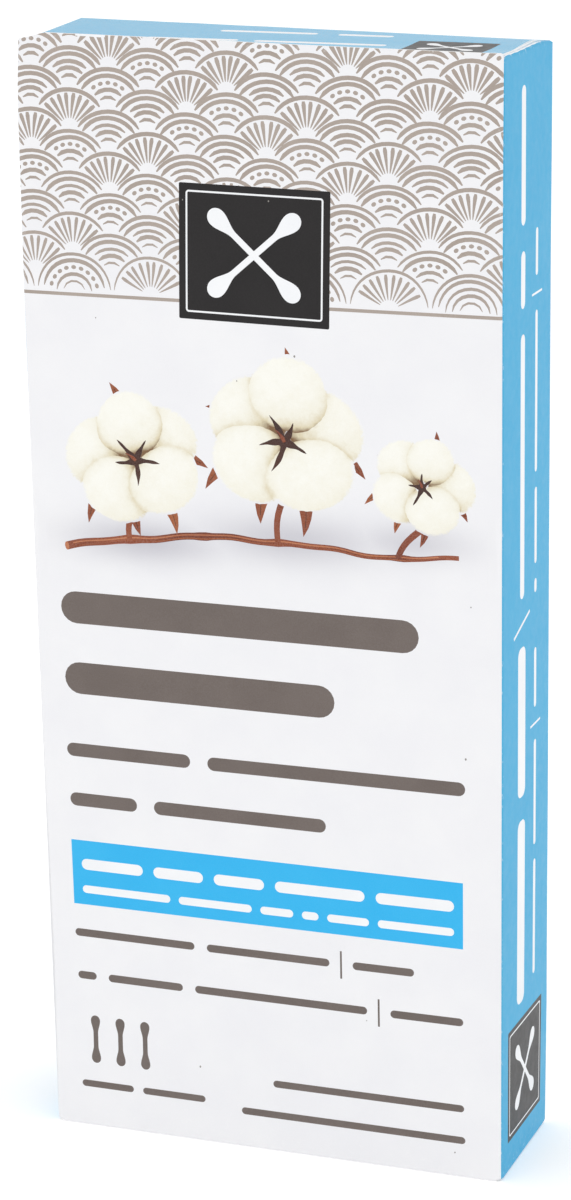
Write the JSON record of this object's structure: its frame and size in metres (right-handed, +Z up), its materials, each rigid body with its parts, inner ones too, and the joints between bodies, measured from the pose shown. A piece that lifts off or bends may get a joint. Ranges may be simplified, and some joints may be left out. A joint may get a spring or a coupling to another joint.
{
  "type": "cotton swab carton",
  "caption": "Upright rectangular paperboard carton with a hinged tuck flap on top, packed with cotton swabs lying across its width.",
  "frame": {"origin": "centre of the carton's bottom, on the surface it stands on", "axes": "+Z up the carton, +X to the right across the wide front panel, and the front panel faces -Y"},
  "size_m": [0.0788, 0.0254, 0.184],
  "materials": {
    "printed_board": "printed, light satin varnish",
    "stick_paper": "matt rolled paper",
    "cotton": "soft cotton wool"
  },
  "bodies": {
    "carton": {"carton": "printed_board", "swab_sticks": "stick_paper", "cotton_buds": "cotton"},
    "flap": {"top_flap": "printed_board"}
  },
  "joints": [
    {"name": "flap_hinge", "type": "hinge", "parent": "carton", "child": "flap", "pos_m": [0, 0.01275, 0.1821], "axis": [-1, 0, 0], "range_deg": [0, 180]}
  ]
}
